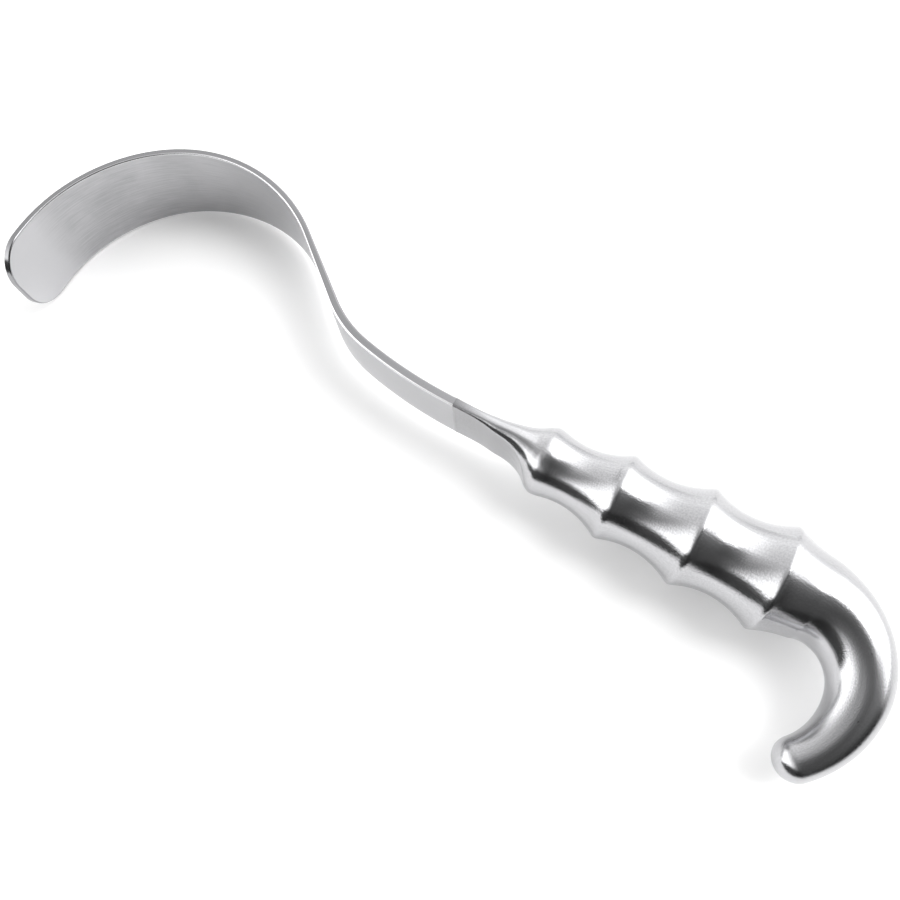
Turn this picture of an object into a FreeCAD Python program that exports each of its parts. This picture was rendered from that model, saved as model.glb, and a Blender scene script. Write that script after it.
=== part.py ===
# Hand-held surgical retractor: a curved steel blade on a bent shank, welded to a hollow grip
# with four finger crests and a hooked end. It lies on its side, as it does on a table.
# Millimetres. Each piece is drawn with X along the grip, from the weld towards the hook, and with
# the strip's width along Z. The finished part stands on z = 0, under the middle of its box.
import FreeCAD, Part
import math
import os
from dataclasses import dataclass

import Sketcher
from FreeCAD import Placement, Rotation, Vector

SIZES = {
    # blade: one bent strip, its bends listed from the weld to the tip
    "shank_radius": 126.0,
    "shank_angle": 13.0,
    "neck_radius": 33.5,
    "neck_angle": 25.5,
    "riser_length": 21.5,
    "heel_radius": 41.0,
    "heel_angle": 80.5,
    "toe_radius": 44.4,
    "toe_angle": 67.0,
    "shank_width": 17.0,
    "shank_thickness": 2.4,
    "blade_width": 25.4,
    "blade_thickness": 1.8,
    "widening_start": 30.0,
    "widening_end": 110.0,
    "tip_corner_radius": 10.0,
    "rim_bevel": 0.4,
    # tongue of the handle, from the weld to the collar under the first crest
    "tongue_end": 16.0,
    "tongue_end_thickness": 4.6,
    "flare_place": 20.0,
    "flare_thickness": 7.6,
    "collar_place": 24.0,
    "collar_radius": 7.9,
    # grip: crests counted from the weld
    "crest_one_place": 25.5,
    "pitch_one": 19.1,
    "pitch_two": 19.4,
    "pitch_three": 20.3,
    "crest_one_radius": 8.75,
    "crest_two_radius": 10.8,
    "crest_three_radius": 12.3,
    "crest_four_radius": 13.5,
    "scallop_one_depth": 2.0,
    "scallop_two_depth": 2.2,
    "scallop_three_depth": 2.5,
    "crest_rounding": 0.8,
    # hook: a tapering tube on two arcs, closed by a round tip
    "root_length": 8.2,
    "root_radius": 10.3,
    "root_hollow": 0.55,
    "hook_radius": 17.3,
    "hook_angle": 90.5,
    "curl_radius": 24.4,
    "curl_angle": 43.0,
    "tip_radius": 5.0,
    "hook_taper": 1.33,
    "wall": 1.5,
}
SHEET = "Sizes"
STEPS_PER_BEND = 3
SKETCH_ORIGIN = (-1, 1)
SHARP_ANGLE = math.radians(30)
TOUCH = 1e-5


@dataclass(frozen=True)
class Skin:
    """The handle's outer skin is stock. The inner one lies one wall further in and is cut away."""

    name: str
    depth: str
    turned: str
    lofted: str
    ball: str

    def inset(self, size):
        return size["wall"] if self is INNER else 0.0


OUTER = Skin("outer", "0", "Revolution", "AdditiveLoft", "AdditiveSphere")
INNER = Skin("inner", f"{SHEET}.wall", "Groove", "SubtractiveLoft", "SubtractiveSphere")


@dataclass
class Stretch:
    """One straight or bent length of a flat path. A positive turn goes to the left."""

    start: Vector
    heading: float
    length: float
    turn: float

    def heading_at(self, distance):
        return self.heading + self.turn * distance / self.length

    def point(self, distance, offset=0.0):
        """The point a distance along, moved sideways by the offset, to the left if positive."""
        left = left_of(self.heading_at(distance))
        if self.turn == 0:
            return self.start + forward(self.heading) * distance + left * offset
        radius = self.length / self.turn
        centre = self.start + left_of(self.heading) * radius
        return centre + left * (offset - radius)

    def edge(self, start_offset, end_offset):
        """The curve beside this stretch. A bent stretch keeps one offset all along."""
        first = self.point(0, start_offset)
        last = self.point(self.length, end_offset)
        if self.turn == 0:
            return Part.LineSegment(first, last)
        return Part.Arc(first, self.point(self.length / 2, start_offset), last)


class Path:
    """A run of stretches in the XY plane, each tangent to the one before it."""

    def __init__(self, start, heading):
        self.end = start
        self.heading = heading
        self.stretches = []

    def add(self, length, turn=0.0):
        stretch = Stretch(self.end, self.heading, length, turn)
        self.stretches.append(stretch)
        self.end = stretch.point(length)
        self.heading = stretch.heading_at(length)

    def bend(self, radius, degrees):
        turn = math.radians(degrees)
        self.add(radius * abs(turn), turn)

    def length(self):
        return sum(stretch.length for stretch in self.stretches)

    def locate(self, distance):
        """The point and heading a distance along the whole path."""
        for stretch in self.stretches:
            if distance <= stretch.length + TOUCH:
                return stretch.point(distance), stretch.heading_at(distance)
            distance -= stretch.length
        return self.end, self.heading


def forward(heading):
    return Vector(math.cos(heading), math.sin(heading), 0)


def left_of(heading):
    return Vector(-math.sin(heading), math.cos(heading), 0)


def fill_sheet(doc):
    """Writes each driving size into the sheet under its own alias."""
    sheet = doc.addObject("Spreadsheet::Sheet", SHEET)
    for row, (name, value) in enumerate(SIZES.items(), start=1):
        sheet.set(f"A{row}", name)
        sheet.set(f"B{row}", str(value))
        sheet.setAlias(f"B{row}", name)
    doc.recompute()
    return sheet


def attach(item, body, plane, offset=Placement()):
    """Fixes an item to one of the body's own origin planes, moved in that plane's frame."""
    support = [part for part in body.Origin.OriginFeatures if part.Role == plane][0]
    item.AttachmentSupport = [(support, "")]
    item.MapMode = "FlatFace"
    item.AttachmentOffset = offset


def new_sketch(body, name, plane, offset=Placement()):
    sketch = body.newObject("Sketcher::SketchObject", name)
    attach(sketch, body, plane, offset)
    return sketch


def draw_loop(sketch, curves):
    """Adds curves end to end as one closed loop and returns their numbers in the sketch."""
    numbers = [sketch.addGeometry(curve, False) for curve in curves]
    for first, second in zip(numbers, numbers[1:] + numbers[:1]):
        meeting = [
            (one, other)
            for one in (1, 2)
            for other in (1, 2)
            if (sketch.getPoint(first, one) - sketch.getPoint(second, other)).Length < TOUCH
        ]
        one, other = meeting[0]
        sketch.addConstraint(Sketcher.Constraint("Coincident", first, one, second, other))
    return numbers


def bind(sketch, kind, numbers, value, name, formula):
    """Adds a dimension that follows a formula on the sheet."""
    constraint = sketch.addConstraint(Sketcher.Constraint(kind, *numbers, value))
    sketch.renameConstraint(constraint, name)
    sketch.setExpression(f"Constraints.{name}", formula)


def polyline(points):
    return [Part.LineSegment(first, last) for first, last in zip(points, points[1:])]


def feature(body, kind, name, **settings):
    """Adds a feature to the body and sets its properties."""
    item = body.newObject(f"PartDesign::{kind}", name)
    for key, value in settings.items():
        setattr(item, key, value)
    return item


def sharp_edges(shape, wanted):
    """Names of the edges where two faces meet at a clear angle and that the test wants."""
    names = []
    for number, edge in enumerate(shape.Edges, start=1):
        middle = edge.valueAt((edge.FirstParameter + edge.LastParameter) / 2)
        normals = []
        for face in shape.ancestorsOfType(edge, Part.Face):
            u, v = face.Surface.parameter(middle)
            normals.append(face.normalAt(u, v))
        if len(normals) != 2 or normals[0].getAngle(normals[1]) < SHARP_ANGLE:
            continue
        if wanted(edge):
            names.append(f"Edge{number}")
    return names


# the blade

def strip_path(size):
    """Middle line of the bent strip, from the weld to the tip."""
    path = Path(Vector(0, 0, 0), math.pi)
    path.bend(size["shank_radius"], -size["shank_angle"])
    path.bend(size["neck_radius"], -size["neck_angle"])
    path.add(size["riser_length"])
    path.bend(size["heel_radius"], size["heel_angle"])
    path.bend(size["toe_radius"], size["toe_angle"])
    return path


def strip_side(path, size, side):
    """Curves of one wide face seen edge-on: the shank's thickness runs out along the riser."""
    shank = side * size["shank_thickness"] / 2
    blade = side * size["blade_thickness"] / 2
    offsets = [(shank, shank), (shank, shank), (shank, blade), (blade, blade), (blade, blade)]
    return [stretch.edge(*pair) for stretch, pair in zip(path.stretches, offsets)]


def draw_strip(body, path, size):
    """Side view of the strip, closed by the weld face and the tip."""
    sketch = new_sketch(body, "strip_side_view", "XY_Plane")
    left = strip_side(path, size, 1)
    right = strip_side(path, size, -1)
    tip = Part.LineSegment(left[-1].EndPoint, right[-1].EndPoint)
    weld = Part.LineSegment(right[0].StartPoint, left[0].StartPoint)
    numbers = draw_loop(sketch, left + [tip] + right[::-1] + [weld])
    bends = {0: ("shank", -1), 1: ("neck", -1), 3: ("heel", 1), 4: ("toe", 1)}
    count = len(left)
    for place, (name, turn) in bends.items():
        stock = "blade" if name in ("heel", "toe") else "shank"
        for side, number in ((1, numbers[place]), (-1, numbers[2 * count - place])):
            sign = "-" if side * turn > 0 else "+"
            formula = f"{SHEET}.{name}_radius {sign} {SHEET}.{stock}_thickness / 2"
            radius = size[f"{name}_radius"] - side * turn * size[f"{stock}_thickness"] / 2
            label = f"{name}_{'left' if side > 0 else 'right'}"
            bind(sketch, "Radius", [number], radius, label, formula)
    return sketch


def draw_narrowing(body, path, size):
    """Outline of what is cut away above and below the shank, seen from the front."""
    sketch = new_sketch(body, "narrowing", "XZ_Plane")
    start = path.locate(size["widening_start"])[0].x
    end = path.locate(size["widening_end"])[0].x
    narrow = size["shank_width"] / 2
    wide = size["blade_width"] / 2
    run = start - end
    rise = wide - narrow
    radius = (run ** 2 + rise ** 2) / (4 * rise)
    half_sweep = math.asin(run / 2 / radius) / 2
    reach = radius * math.sin(half_sweep)
    lift = radius * (1 - math.cos(half_sweep))
    margin = size["shank_thickness"]
    for side in (1, -1):
        low = Vector(start, side * narrow, 0)
        middle = Vector((start + end) / 2, side * (narrow + wide) / 2, 0)
        high = Vector(end, side * wide, 0)
        ogee = [
            Part.Arc(low, Vector(start - reach, side * (narrow + lift), 0), middle),
            Part.Arc(middle, Vector(end + reach, side * (wide - lift), 0), high),
        ]
        corners = polyline([
            high,
            Vector(end, side * (wide + margin), 0),
            Vector(margin, side * (wide + margin), 0),
            Vector(margin, side * narrow, 0),
            low,
        ])
        draw_loop(sketch, ogee + corners)
    return sketch


def make_blade(doc, size):
    """The shank and blade: a strip bent on edge, narrowed to the shank, with a rounded end."""
    body = doc.addObject("PartDesign::Body", "Blade")
    body.Label = "blade"
    path = strip_path(size)
    strip = feature(body, "Pad", "strip", Profile=draw_strip(body, path, size), SideType="Symmetric")
    strip.setExpression("Length", f"{SHEET}.blade_width")
    doc.recompute()
    cut = feature(body, "Pocket", "narrowed_shank", Profile=draw_narrowing(body, path, size))
    cut.SideType = "Symmetric"
    cut.setExpression("Length", f"4 * ({SHEET}.heel_radius + {SHEET}.toe_radius)")
    doc.recompute()

    def at_tip(edge):
        across = abs(edge.Length - size["blade_thickness"]) < TOUCH
        return across and (edge.CenterOfMass - path.end).Length < size["blade_width"]

    corners = feature(body, "Fillet", "tip_corners", Base=(cut, sharp_edges(cut.Shape, at_tip)))
    corners.setExpression("Radius", f"{SHEET}.tip_corner_radius")
    doc.recompute()

    def off_weld(edge):
        return edge.BoundBox.XMax - edge.BoundBox.XMin > TOUCH or abs(edge.CenterOfMass.x) > TOUCH

    rim = feature(body, "Chamfer", "rim", Base=(corners, sharp_edges(corners.Shape, off_weld)))
    rim.setExpression("Size", f"{SHEET}.rim_bevel")
    return body


# the handle

def crest_places(size):
    """Place along the grip and radius of each crest."""
    place = size["crest_one_place"]
    crests = [(place, size["crest_one_radius"])]
    steps = (("pitch_one", "crest_two"), ("pitch_two", "crest_three"), ("pitch_three", "crest_four"))
    for pitch, crest in steps:
        place += size[pitch]
        crests.append((place, size[f"{crest}_radius"]))
    return crests


def hollow_arc(first, last, depth):
    """An arc between two points that sinks towards the axis by the depth at its middle."""
    chord = last - first
    inward = Vector(chord.y, -chord.x, 0).normalize()
    return Part.Arc(first, (first + last) / 2 + inward * depth, last)


def grip_curves(size, inset):
    """Half outline of the grip, from the collar to the hook's root, moved in by the inset."""
    crests = [Vector(place, radius - inset, 0) for place, radius in crest_places(size)]
    collar = Vector(size["collar_place"], size["collar_radius"] - inset, 0)
    root = Vector(crests[-1].x + size["root_length"], size["root_radius"] - inset, 0)
    depths = [size[f"scallop_{name}_depth"] for name in ("one", "two", "three")]
    curves = [Part.LineSegment(collar, crests[0])]
    for first, last, depth in zip(crests, crests[1:], depths):
        curves.append(hollow_arc(first, last, depth))
    curves.append(hollow_arc(crests[-1], root, size["root_hollow"]))
    axis_ends = [Vector(root.x, 0, 0), Vector(collar.x, 0, 0)]
    return curves + polyline([root] + axis_ends + [collar])


def draw_grip(body, skin, size):
    """Outline to turn about X, with each crest's height bound to the sheet."""
    sketch = new_sketch(body, f"{skin.name}_outline", "XY_Plane")
    numbers = draw_loop(sketch, grip_curves(size, skin.inset(size)))
    for number, crest in zip(numbers, ("one", "two", "three", "four")):
        far_end = max((1, 2), key=lambda end: sketch.getPoint(number, end).x)
        height = sketch.getPoint(number, far_end).y
        formula = f"{SHEET}.crest_{crest}_radius - {skin.depth}"
        bind(sketch, "DistanceY", [*SKETCH_ORIGIN, number, far_end], height, f"crest_{crest}", formula)
    return sketch


def draw_tongue_section(body, name, place, half_width, half_thickness, corner):
    """Four arcs or lines around the tongue, with corners at a share of its half sizes."""
    sketch = new_sketch(body, name, "YZ_Plane", Placement(Vector(0, 0, place), Rotation()))
    across = half_thickness * corner
    along = half_width * corner
    corners = [
        Vector(-across, -along, 0),
        Vector(across, -along, 0),
        Vector(across, along, 0),
        Vector(-across, along, 0),
    ]
    middles = [
        Vector(0, -half_width, 0),
        Vector(half_thickness, 0, 0),
        Vector(0, half_width, 0),
        Vector(-half_thickness, 0, 0),
    ]
    following = corners[1:] + corners[:1]
    draw_loop(sketch, [Part.Arc(a, m, b) for a, m, b in zip(corners, middles, following)])
    return sketch


def make_tongue(body, size):
    """The flat tongue that swells into the round collar."""
    half_width = size["shank_width"] / 2
    flat = 0.97
    swelling = 0.9
    turned = math.sqrt(0.5)
    stations = [
        ("tongue_at_weld", 0, half_width, size["shank_thickness"] / 2, flat),
        ("tongue_end", size["tongue_end"], half_width, size["tongue_end_thickness"] / 2, flat),
        ("flare", size["flare_place"], half_width, size["flare_thickness"] / 2, swelling),
        ("collar", size["collar_place"], size["collar_radius"], size["collar_radius"], turned),
    ]
    sections = [draw_tongue_section(body, *station) for station in stations]
    return feature(body, "AdditiveLoft", "tongue", Profile=sections[0], Sections=sections[1:])


def hook_path(size):
    """Middle line of the hook, from the end of its straight root."""
    start = Vector(crest_places(size)[-1][0] + size["root_length"], 0, 0)
    path = Path(start, 0)
    path.bend(size["hook_radius"], -size["hook_angle"])
    path.bend(size["curl_radius"], -size["curl_angle"])
    return path


def draw_hook_sections(body, skin, size):
    """Circles square to the hook's middle line that shrink towards the tip."""
    path = hook_path(size)
    total = path.length()
    places = [0]
    for stretch in path.stretches:
        step = stretch.length / STEPS_PER_BEND
        places += [places[-1] + step * count for count in range(1, STEPS_PER_BEND + 1)]
    sections = []
    for number, place in enumerate(places):
        share = min(place / total, 1)
        growth = f"{SHEET}.root_radius - {SHEET}.tip_radius"
        formula = f"{SHEET}.tip_radius + ({growth}) * (1 - {share}) ^ {SHEET}.hook_taper - {skin.depth}"
        swell = (size["root_radius"] - size["tip_radius"]) * (1 - share) ** size["hook_taper"]
        radius = size["tip_radius"] + swell - skin.inset(size)
        sketch = new_sketch(body, f"{skin.name}_hook_{number}", "YZ_Plane", square_to(path, place))
        circle = sketch.addGeometry(Part.Circle(Vector(0, 0, 0), Vector(0, 0, 1), radius), False)
        sketch.addConstraint(Sketcher.Constraint("Coincident", circle, 3, *SKETCH_ORIGIN))
        bind(sketch, "Radius", [circle], radius, "section_radius", formula)
        sections.append(sketch)
    return sections


def square_to(path, place):
    """Offset of a YZ plane that sets it square to the path. Its X, Y and Z are the part's Y, Z, X."""
    point, heading = path.locate(place)
    return Placement(Vector(point.y, 0, point.x), Rotation(Vector(0, 1, 0), math.degrees(heading)))


def shape_skin(body, skin, size):
    """Turns the grip, lofts the hook and rounds the tip, as stock or as a cavity."""
    grip = feature(body, skin.turned, f"{skin.name}_grip", Profile=draw_grip(body, skin, size), Angle=360)
    grip.ReferenceAxis = (grip.Profile[0], ["H_Axis"])
    doc = body.Document
    doc.recompute()
    if skin is OUTER:
        crest_edges = edges_at(grip.Shape, [place for place, radius in crest_places(size)])
        ridges = feature(body, "Fillet", "ridges", Base=(grip, crest_edges))
        ridges.setExpression("Radius", f"{SHEET}.crest_rounding")
        doc.recompute()
    sections = draw_hook_sections(body, skin, size)
    feature(body, skin.lofted, f"{skin.name}_hook", Profile=sections[0], Sections=sections[1:])
    doc.recompute()
    tip = feature(body, skin.ball, f"{skin.name}_tip")
    path = hook_path(size)
    attach(tip, body, "YZ_Plane", square_to(path, path.length()))
    tip.setExpression("Radius", f"{SHEET}.tip_radius - {skin.depth}")
    doc.recompute()


def edges_at(shape, places):
    """Names of the edges that lie square to X at one of the places."""
    names = []
    for number, edge in enumerate(shape.Edges, start=1):
        flat = edge.BoundBox.XLength < TOUCH
        if flat and any(abs(edge.CenterOfMass.x - place) < TOUCH for place in places):
            names.append(f"Edge{number}")
    return names


def make_handle(doc, size):
    """The hollow grip: tongue, turned grip, hook and round tip, with an even wall."""
    body = doc.addObject("PartDesign::Body", "Handle")
    body.Label = "handle"
    shape_skin(body, OUTER, size)
    make_tongue(body, size)
    doc.recompute()
    solid = body.Shape.Volume
    shape_skin(body, INNER, size)
    if body.Shape.Volume > solid - TOUCH:
        raise RuntimeError("the handle isn't hollow")
    return body


def rest_on_floor(parts):
    """Puts the middle of the whole part's footprint at the origin, with its lowest point at z = 0."""
    box = FreeCAD.BoundBox()
    for part in parts:
        box.add(part.Shape.optimalBoundingBox(False))
    for part in parts:
        part.Placement = Placement(Vector(-box.Center.x, -box.Center.y, -box.ZMin), Rotation())


def check(doc, parts):
    """Stops the build when an object failed or a piece isn't one valid solid."""
    for item in doc.Objects:
        if "Invalid" in item.State or "Error" in item.State:
            raise RuntimeError(f"{item.Name} is {item.State}")
    for part in parts:
        if part.Shape.isNull() or not part.Shape.isValid() or len(part.Shape.Solids) != 1:
            raise RuntimeError(f"{part.Label} is not one valid solid")


def main():
    doc = FreeCAD.newDocument("Retractor")
    sheet = fill_sheet(doc)
    size = {name: float(sheet.get(name)) for name in SIZES}
    parts = [make_blade(doc, size), make_handle(doc, size)]
    doc.recompute()
    check(doc, parts)
    rest_on_floor(parts)
    doc.recompute()
    os.makedirs("parts", exist_ok=True)
    for part in parts:
        part.Shape.exportStep(f"parts/{part.Label}.step")
        box = part.Shape.optimalBoundingBox(False)
        print(part.Label, round(part.Shape.Volume), "mm3", box)


main()
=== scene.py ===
"""Dresses a hand-held surgical retractor: a ground steel blade welded to a polished hollow grip.

The classes hold their sizes in millimetres and degrees, and vertices are written in metres. X runs
along the grip from the weld to the hook, Y to the side that the blade bulges to, and Z up from the
table that the tool lies on.
"""

import logging
import math
from dataclasses import dataclass
from enum import Enum
from functools import cached_property
from typing import Any, Sequence

import bpy
import numpy as np
from mathutils import Matrix, Vector


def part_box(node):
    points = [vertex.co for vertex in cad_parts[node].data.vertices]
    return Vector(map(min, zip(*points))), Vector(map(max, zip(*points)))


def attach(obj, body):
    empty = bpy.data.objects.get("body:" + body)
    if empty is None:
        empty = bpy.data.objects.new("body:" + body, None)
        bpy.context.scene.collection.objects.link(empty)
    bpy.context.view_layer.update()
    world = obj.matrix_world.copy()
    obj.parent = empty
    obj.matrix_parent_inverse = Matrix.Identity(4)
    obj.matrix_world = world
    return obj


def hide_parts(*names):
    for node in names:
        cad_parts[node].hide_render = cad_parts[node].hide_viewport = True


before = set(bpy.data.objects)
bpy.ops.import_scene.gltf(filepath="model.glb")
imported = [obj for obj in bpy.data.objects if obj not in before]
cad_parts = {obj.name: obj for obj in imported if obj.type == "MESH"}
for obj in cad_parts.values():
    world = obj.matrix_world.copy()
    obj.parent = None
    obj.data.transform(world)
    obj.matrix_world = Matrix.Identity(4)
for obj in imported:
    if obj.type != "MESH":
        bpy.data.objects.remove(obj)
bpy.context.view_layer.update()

logging.basicConfig(level=logging.INFO, format="%(message)s")
log = logging.getLogger("retractor")

MM = 0.001
ROOT = "root"
GRAIN = "grain"
RIM = "rim"

Pair = tuple[float, float]
Stations = tuple[Pair, ...]
Section = tuple[float, float, float, float]
Tree = bpy.types.NodeTree
Socket = bpy.types.NodeSocket


class Slot(Enum):
    """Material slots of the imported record."""

    BLADE = "satin_blade_steel"
    HANDLE = "polished_handle_steel"


def to_linear(colour: str) -> tuple[float, float, float, float]:
    """Turns an sRGB hex colour to linear values.

    Args:
        colour: six hex digits after a hash, such as "#C8C8C6".

    Returns:
        Linear red, green and blue, and full opacity.
    """
    parts = [int(colour[start:start + 2], 16) / 255 for start in (1, 3, 5)]
    linear = [
        part / 12.92 if part <= 0.04045 else ((part + 0.055) / 1.055) ** 2.4 for part in parts]
    return (*linear, 1.0)


def add_node(
    tree: Tree,
    kind: str,
    settings: dict[str, Any] | None = None,
    inputs: dict[str | int, Any] | None = None,
) -> bpy.types.Node:
    """Adds a node with its settings, and fills its inputs with values or links.

    Args:
        tree: the node tree to add it to.
        kind: the node's type name.
        settings: attributes of the node and their values.
        inputs: values by input name or number; an output socket is linked.

    Returns:
        The new node.
    """
    node = tree.nodes.new(kind)
    for name, value in (settings or {}).items():
        setattr(node, name, value)
    for name, value in (inputs or {}).items():
        if isinstance(value, Socket):
            tree.links.new(value, node.inputs[name])
        else:
            node.inputs[name].default_value = value
    return node


def new_material(name: str) -> bpy.types.Material:
    """Makes a material with an empty node tree.

    Args:
        name: what it is called.

    Returns:
        The material.
    """
    material = bpy.data.materials.new(name)
    material.use_nodes = True
    material.node_tree.nodes.clear()
    return material


@dataclass(frozen=True)
class Stretch:
    """A straight or bent length of a flat centre line. A positive turn goes to the left."""

    length: float
    turn: float = 0.0

    @classmethod
    def bend(cls, radius: float, turn: float) -> "Stretch":
        """An arc of that radius."""
        return cls(radius * math.radians(abs(turn)), turn)


@dataclass(frozen=True)
class CentreLine:
    """Stretches that follow each other smoothly in the plane of the table."""

    start: Pair
    heading: float
    stretches: tuple[Stretch, ...]

    @property
    def length(self) -> float:
        """Length of all stretches together."""
        return sum(stretch.length for stretch in self.stretches)

    def locate(self, distance: float) -> tuple[np.ndarray, float]:
        """Finds a place along the line.

        Args:
            distance: how far from the start.

        Returns:
            The point, and the heading there in radians.
        """
        point = np.array(self.start, float)
        heading = math.radians(self.heading)
        for stretch in self.stretches:
            step = min(distance, stretch.length)
            rate = math.radians(stretch.turn) / stretch.length
            if rate:
                ahead = heading + rate * step
                chord = [math.sin(ahead) - math.sin(heading), math.cos(heading) - math.cos(ahead)]
                point = point + np.array(chord) / rate
                heading = ahead
            else:
                point = point + step * np.array([math.cos(heading), math.sin(heading)])
            distance -= step
            if distance <= 0:
                break
        return point, heading


def place(line: CentreLine, along: float, left: float, up: float, origin: Vector) -> Vector:
    """Turns a place beside a centre line to a point in the frame.

    Args:
        line: the centre line, in millimetres.
        along: distance along the line.
        left: distance to the left of it.
        up: height over its plane.
        origin: where the line's own origin is in the frame, in metres.

    Returns:
        The point, in metres.
    """
    point, heading = line.locate(along)
    x = point[0] - left * math.sin(heading)
    y = point[1] + left * math.cos(heading)
    return origin + Vector((x, y, up)) * MM


def smooth_through(stations: Stations, at: float) -> float:
    """Reads a smooth curve through stations, with no overshoot between them.

    Args:
        stations: places and values, in order of place.
        at: the place to read.

    Returns:
        The value there, or that of the nearest end.
    """
    places = np.array([station[0] for station in stations], float)
    values = np.array([station[1] for station in stations], float)
    if at <= places[0] or at >= places[-1]:
        return float(values[0] if at <= places[0] else values[-1])
    steps = np.diff(places)
    rises = np.diff(values) / steps
    slopes = np.concatenate([[rises[0]], np.zeros(len(rises) - 1), [rises[-1]]])
    for k in range(1, len(rises)):
        if rises[k - 1] * rises[k] > 0:
            first, last = 2 * steps[k] + steps[k - 1], steps[k] + 2 * steps[k - 1]
            slopes[k] = (first + last) / (first / rises[k - 1] + last / rises[k])
    k = int(np.searchsorted(places, at, side="right") - 1)
    t = (at - places[k]) / steps[k]
    held = (2 * t ** 3 - 3 * t ** 2 + 1) * values[k] + (3 * t ** 2 - 2 * t ** 3) * values[k + 1]
    bent = (t ** 3 - 2 * t ** 2 + t) * slopes[k] + (t ** 3 - t ** 2) * slopes[k + 1]
    return float(held + steps[k] * bent)


def make_piece(
    name: str,
    vertices: Sequence[Vector],
    faces: Sequence[Sequence[int]],
    lengthwise: Sequence[Pair],
) -> bpy.types.Object:
    """Makes a smooth-shaded mesh object.

    Args:
        name: the piece's name.
        vertices: points in metres.
        faces: vertex numbers of each face.
        lengthwise: for each face corner, the distance along and around the piece in millimetres.

    Returns:
        The object, in the scene's own collection.
    """
    mesh = bpy.data.meshes.new(name)
    mesh.from_pydata([tuple(vertex) for vertex in vertices], [], [list(face) for face in faces])
    layer = mesh.uv_layers.new(name=GRAIN)
    layer.uv.foreach_set("vector", np.array(lengthwise, np.float32).ravel())
    mesh.polygons.foreach_set("use_smooth", [True] * len(mesh.polygons))
    mesh.validate()
    piece = bpy.data.objects.new(name, mesh)
    bpy.context.scene.collection.objects.link(piece)
    return piece


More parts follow.
